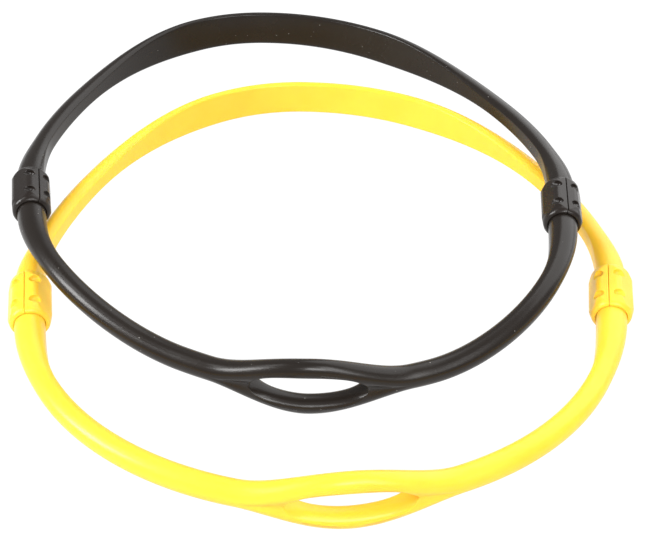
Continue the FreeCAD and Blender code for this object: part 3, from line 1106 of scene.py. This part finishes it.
    def _carve(self, body: bpy.types.Object, tool: bpy.types.Object, operation: str) -> None:
        """Apply a Boolean with a tool, which is removed.

        Args:
            body: What is carved.
            tool: What carves it.
            operation: Name of the Boolean's operation.
        """
        boolean = body.modifiers.new("carve", "BOOLEAN")
        boolean.operation = operation
        boolean.solver = "EXACT"
        boolean.object = tool
        carved = self._applied(body)
        body.modifiers.clear()
        body.data = carved
        bpy.data.objects.remove(tool)

    def _applied(self, body: bpy.types.Object) -> bpy.types.Mesh:
        """Return the body's mesh with its modifiers applied."""
        graph = bpy.context.evaluated_depsgraph_get()
        graph.update()
        return bpy.data.meshes.new_from_object(body.evaluated_get(graph))


@dataclass
class Sleeve:
    """A sleeve in place: two half-shells about its axis, turned by that many degrees."""

    colour: str
    side: Side
    place: Place
    turn: float

    @property
    def body(self) -> str:
        """Return the name of the body that it rides on."""
        return f"{self.colour}_{self.side.value}_sleeve"

    def build(self, shell: bpy.types.Mesh, material: bpy.types.Material) -> list[bpy.types.Object]:
        """Place both half-shells.

        Args:
            shell: The half-shell in its own frame.
            material: Its plastic.

        Returns:
            The inner and the outer half-shell.
        """
        forward = self.place.axis
        across = UP.cross(forward)
        upright = Matrix((across, UP, forward)).transposed().to_4x4()
        turn = Matrix.Rotation(math.radians(self.turn) * self.side.sign, 4, forward)
        made = []
        for half in ("inner", "outer"):
            flipped = (half == "inner") == (self.side is Side.RIGHT)
            half_turn = Matrix.Rotation(math.pi if flipped else 0.0, 4, forward)
            mesh = shell.copy()
            mesh.name = f"{self.body}_{half}_shell"
            mesh.transform(Matrix.Translation(self.place.point) @ turn @ half_turn @ upright)
            dress(mesh, material)
            piece = add_object(mesh)
            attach(piece, self.body)
            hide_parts(f"{self.body}_{half}")
            made.append(piece)
        return made


# ---- rings


@dataclass
class Ring:
    """One neck strap: both straps and both sleeves."""

    colour: str
    lay: Lay
    places: Places
    silicone: Silicone
    plastic: HardPlastic

    def route(self, strap: Strap) -> Route:
        """Lay out a strap's centre line.

        Args:
            strap: Which strap.

        Returns:
            The centre line between the sleeves' mouths.
        """
        middle, bend = self.places.features[strap], self.lay.bends[strap]
        centre = middle.point.copy()
        if strap is Strap.REAR:
            # the band's mount lies on its inner face
            centre -= middle.axis * RearStrap.band.flat
        tangent = UP.cross(middle.axis).normalized()
        halves = {}
        for side in Side:
            sleeve = self.places.sleeves[side]
            heading = sleeve.axis if strap is Strap.FRONT else -sleeve.axis
            mouth = sleeve.point + heading * (SleeveMoulding.length / 2)
            span = (centre.xy - mouth.xy).length
            halves[side] = HalfRoute(
                mouth, heading * (bend.mouth_pulls[side] * span),
                centre, tangent * (side.sign * bend.middle_pulls[side] * span), bend.climb)
        return Route(halves, strap)

    def build(self, shell: bpy.types.Mesh) -> list[bpy.types.Object]:
        """Build every piece of the ring.

        Args:
            shell: The sleeves' half-shell in its own frame.

        Returns:
            The ring's pieces.
        """
        rubber = self.silicone.material()
        plastic = self.plastic.material()
        makers = {Strap.FRONT: FrontStrap(), Strap.REAR: RearStrap(lean=self.lay.band_lean)}
        made = []
        for strap, maker in makers.items():
            node = f"{self.colour}_{strap.value}_strap"
            piece = maker.build(f"{node}_moulding", self.route(strap), rubber)
            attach(piece, f"{self.colour}_ring")
            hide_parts(node)
            made.append(piece)
        for side in Side:
            sleeve = Sleeve(self.colour, side, self.places.sleeves[side],
                            self.lay.sleeve_turns[side])
            made += sleeve.build(shell, plastic)
        return made


# ---- studio


@dataclass(frozen=True)
class Lamp:
    """An evenly bright soft box that looks at the part.

    Its azimuth goes from the front round to the right, in degrees, and its radiance is in watts
    per square metre and steradian.
    """

    name: str
    azimuth: float
    elevation: float
    width: float
    height: float
    radiance: float
    distance: float = 0.9

    def build(self, aim: Vector) -> None:
        """Make the light and point it.

        Args:
            aim: The point that it looks at.
        """
        data = bpy.data.lights.new(self.name, "AREA")
        data.shape = "RECTANGLE"
        data.size = self.width
        data.size_y = self.height
        data.energy = self.radiance * math.pi * self.width * self.height
        lamp = bpy.data.objects.new(self.name, data)
        turn, lift = math.radians(self.azimuth), math.radians(self.elevation)
        way = Vector((math.sin(turn) * math.cos(lift), -math.cos(turn) * math.cos(lift),
                      math.sin(lift)))
        lamp.location = aim + way * self.distance
        lamp.rotation_euler = (-way).to_track_quat("-Z", "Y").to_euler()
        bpy.context.scene.collection.objects.link(lamp)


@dataclass(frozen=True)
class Studio:
    """White table, soft lights and the camera."""

    aim: Vector = Vector((4.363, -22.914, 0)) * MM
    distance: float = 338.3 * MM
    elevation: float = 41.13
    lens: float = 54.79
    clip_start: float = 10 * MM
    floor_reach: float = 3.0
    floor_tone: Colour = tone(0.06, 0.06, 0.06)
    floor_roughness: float = 0.9
    floor_gloss: float = 0.1
    floor_glow: float = 0.98
    white: Colour = tone(1.0, 1.0, 1.0)
    sky: float = 0.40
    lamps: tuple[Lamp, ...] = (
        Lamp("lamp_key", azimuth=32, elevation=44, width=0.16, height=0.70, radiance=10.0),
        Lamp("lamp_front", azimuth=7, elevation=40, width=0.26, height=0.22, radiance=20.0),
        Lamp("lamp_rear_right", azimuth=135, elevation=36, width=1.20, height=1.10, radiance=2.0),
        Lamp("lamp_left", azimuth=-77, elevation=30, width=0.28, height=0.40, radiance=22.0),
        Lamp("lamp_left_high", azimuth=-95, elevation=53, width=0.25, height=0.25, radiance=4.0),
    )

    def build(self) -> None:
        """Set up the whole studio."""
        self._camera()
        self._floor()
        self._world()
        for lamp in self.lamps:
            lamp.build(self.aim)

    def _camera(self) -> None:
        """Make the camera at its angle above the table."""
        data = bpy.data.cameras.new("camera")
        data.lens = self.lens
        data.clip_start = self.clip_start
        camera = bpy.data.objects.new("camera", data)
        lift = math.radians(self.elevation)
        back = Vector((0, -math.cos(lift), math.sin(lift)))
        camera.location = self.aim + back * self.distance
        camera.rotation_euler = (-back).to_track_quat("-Z", "Y").to_euler()
        bpy.context.scene.collection.objects.link(camera)
        bpy.context.scene.camera = camera

    def _floor(self) -> None:
        """Make the table top."""
        bm = bmesh.new()
        bmesh.ops.create_grid(bm, x_segments=1, y_segments=1, size=self.floor_reach)
        graph = Graph("table_white")
        graph.set_surface(base_color=self.floor_tone, roughness=self.floor_roughness,
                          specular_ior_level=self.floor_gloss,
                          emission_color=self.white, emission_strength=self.floor_glow)
        new_piece("table", bm, graph.material)

    def _world(self) -> None:
        """Make the even surrounding light."""
        world = bpy.data.worlds.new("studio")
        world.use_nodes = True
        background = world.node_tree.nodes["Background"]
        background.inputs["Color"].default_value = self.white
        background.inputs["Strength"].default_value = self.sky
        bpy.context.scene.world = world
        bpy.context.scene.view_settings.view_transform = "Standard"


def main() -> None:
    """Load the frame, dress both rings and set up the studio."""
    logging.basicConfig(level=logging.INFO, format="%(name)s: %(message)s")
    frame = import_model()
    shell = SleeveMoulding().half()
    log.info("half-shell: %d faces", len(shell.polygons))
    rings = (
        Ring("yellow", YELLOW_LAY, Places.read(frame, "yellow"), YELLOW_SILICONE, YELLOW_PLASTIC),
        Ring("black", BLACK_LAY, Places.read(frame, "black"), BLACK_SILICONE, BLACK_PLASTIC),
    )
    for ring in rings:
        for piece in ring.build(shell):
            log.info("%s: %d faces", piece.name, len(piece.data.polygons))
    Studio().build()


if __name__ == "__main__":
    main()
